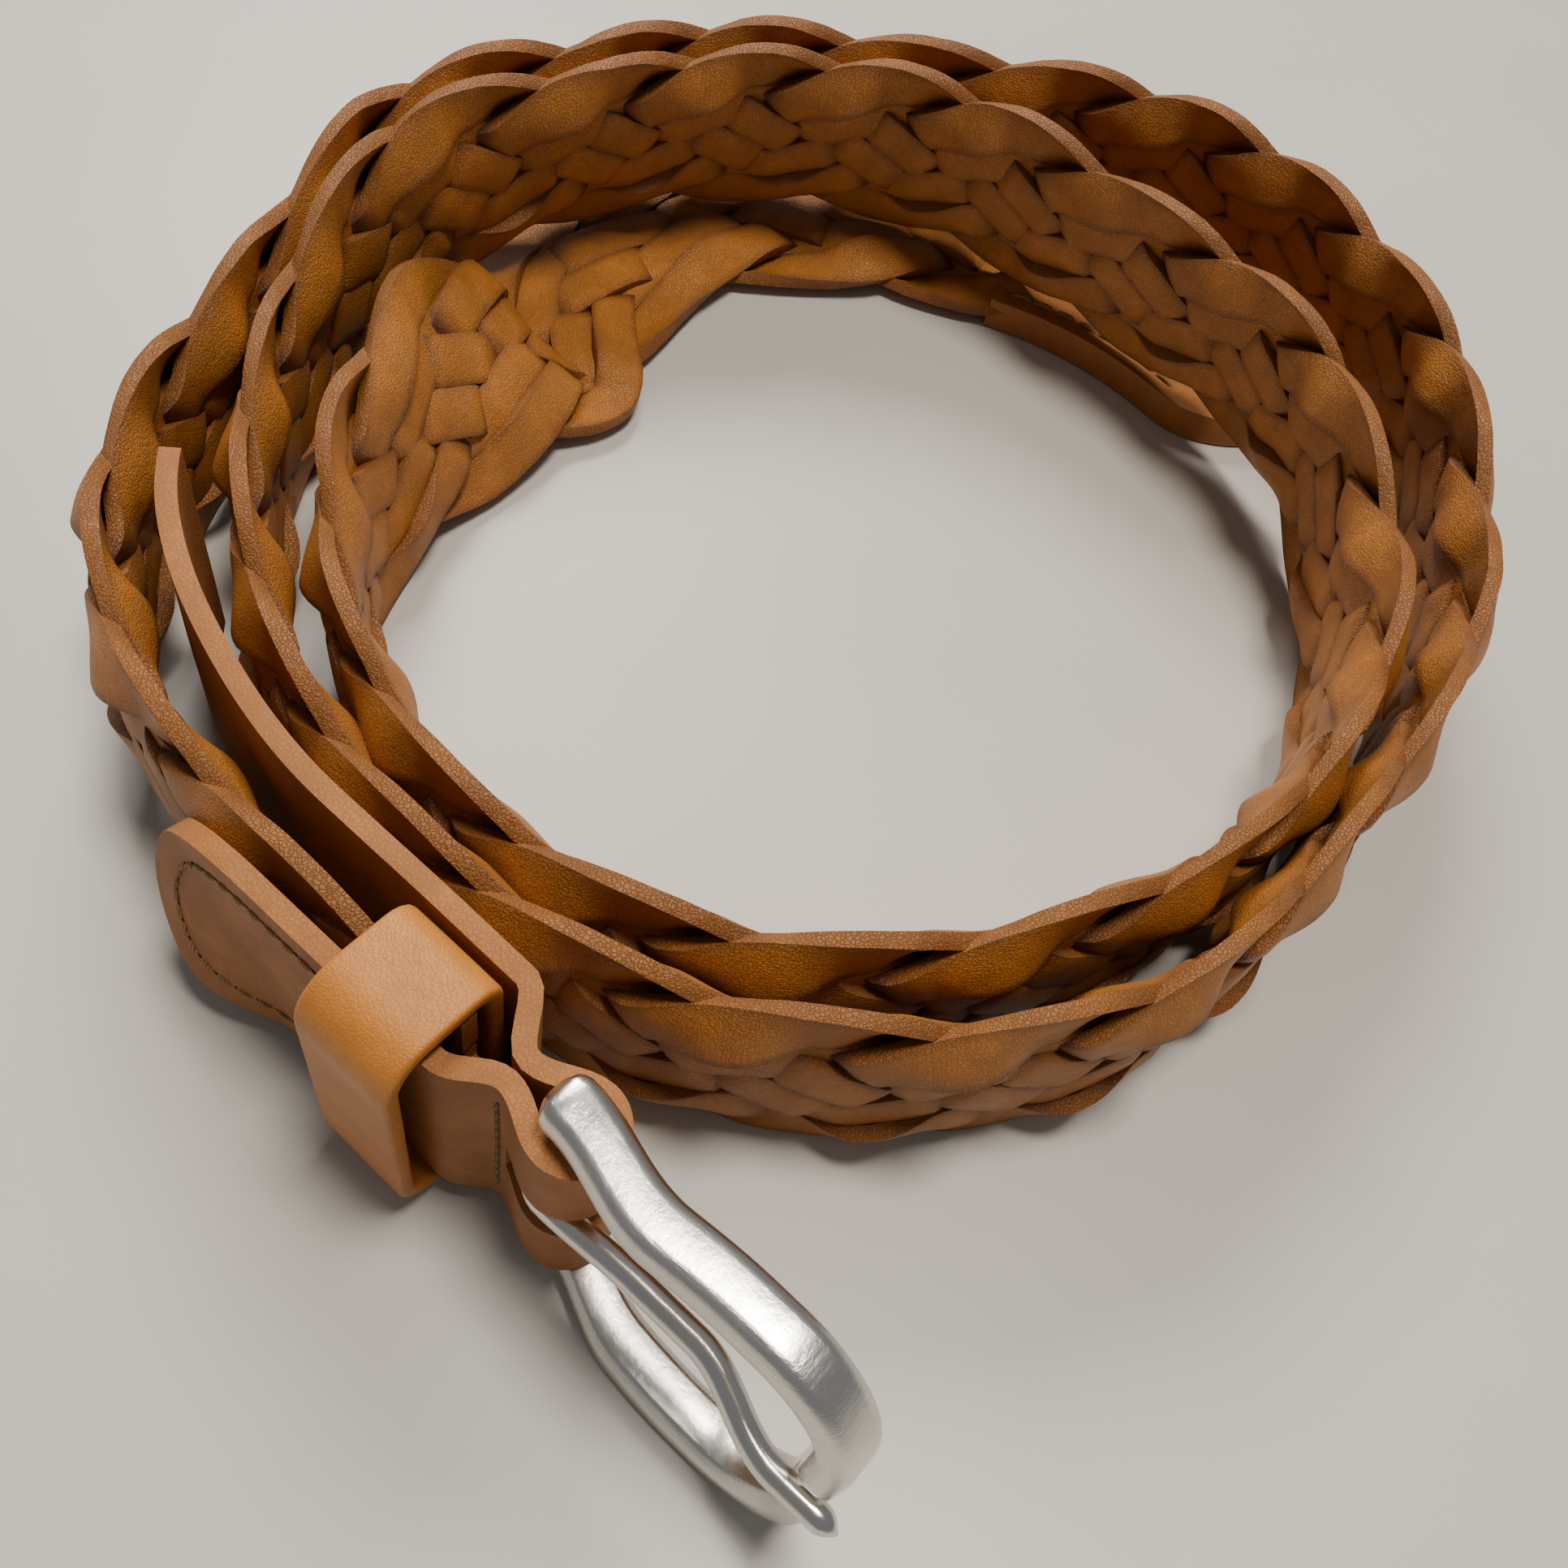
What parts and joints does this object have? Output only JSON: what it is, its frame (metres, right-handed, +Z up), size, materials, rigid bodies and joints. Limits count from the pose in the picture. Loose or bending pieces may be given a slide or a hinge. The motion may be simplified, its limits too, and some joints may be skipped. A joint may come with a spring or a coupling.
{
  "type": "braided leather belt",
  "caption": "Braided leather dress belt coiled on edge, with a stitched buckle strap, sliding keeper, bowed metal frame buckle and prong.",
  "frame": {"origin": "middle of the whole belt's outline, on the surface it stands on", "axes": "Z up across the belt's width, the buckle at the front towards -Y, the outer strap side facing the front left"},
  "size_m": [0.1696, 0.2142, 0.0406],
  "materials": {
    "braid_leather": "smooth tan hide, raw fibrous cut edges",
    "strap_leather": "matte brown tan, burnished edges",
    "keeper_leather": "smooth tan grain, burnished edges",
    "thread": "waxed pale thread",
    "buckle_metal": "satin nickel silver",
    "bar_metal": "satin nickel silver",
    "prong_metal": "satin nickel silver, drawn wire"
  },
  "bodies": {
    "belt": {"strand_1": "braid_leather", "strand_2": "braid_leather", "strand_3": "braid_leather", "strand_4": "braid_leather", "strand_5": "braid_leather", "strand_6": "braid_leather", "strand_7": "braid_leather", "strand_8": "braid_leather", "chape_strap": "strap_leather", "tab_stitching": "thread", "fold_stitching": "thread", "tip_tab": "strap_leather", "tip_stitching": "thread"},
    "keeper": {"keeper_loop": "keeper_leather"},
    "buckle": {"buckle_frame": "buckle_metal", "buckle_bar": "bar_metal"},
    "prong": {"prong": "prong_metal"}
  },
  "joints": [
    {"name": "keeper_slide", "type": "slide", "parent": "belt", "child": "keeper", "axis": [-0.891, 0.454, 0], "range_m": [0, 0.008]},
    {"name": "buckle_hinge", "type": "hinge", "parent": "belt", "child": "buckle", "pos_m": [-0.00655, -0.08406, 0.0203], "axis": [0, 0, 1], "range_deg": [-30, 25]},
    {"name": "prong_hinge", "type": "hinge", "parent": "buckle", "child": "prong", "pos_m": [-0.00655, -0.08406, 0.0203], "axis": [0, 0, -1], "range_deg": [0, 58]}
  ]
}
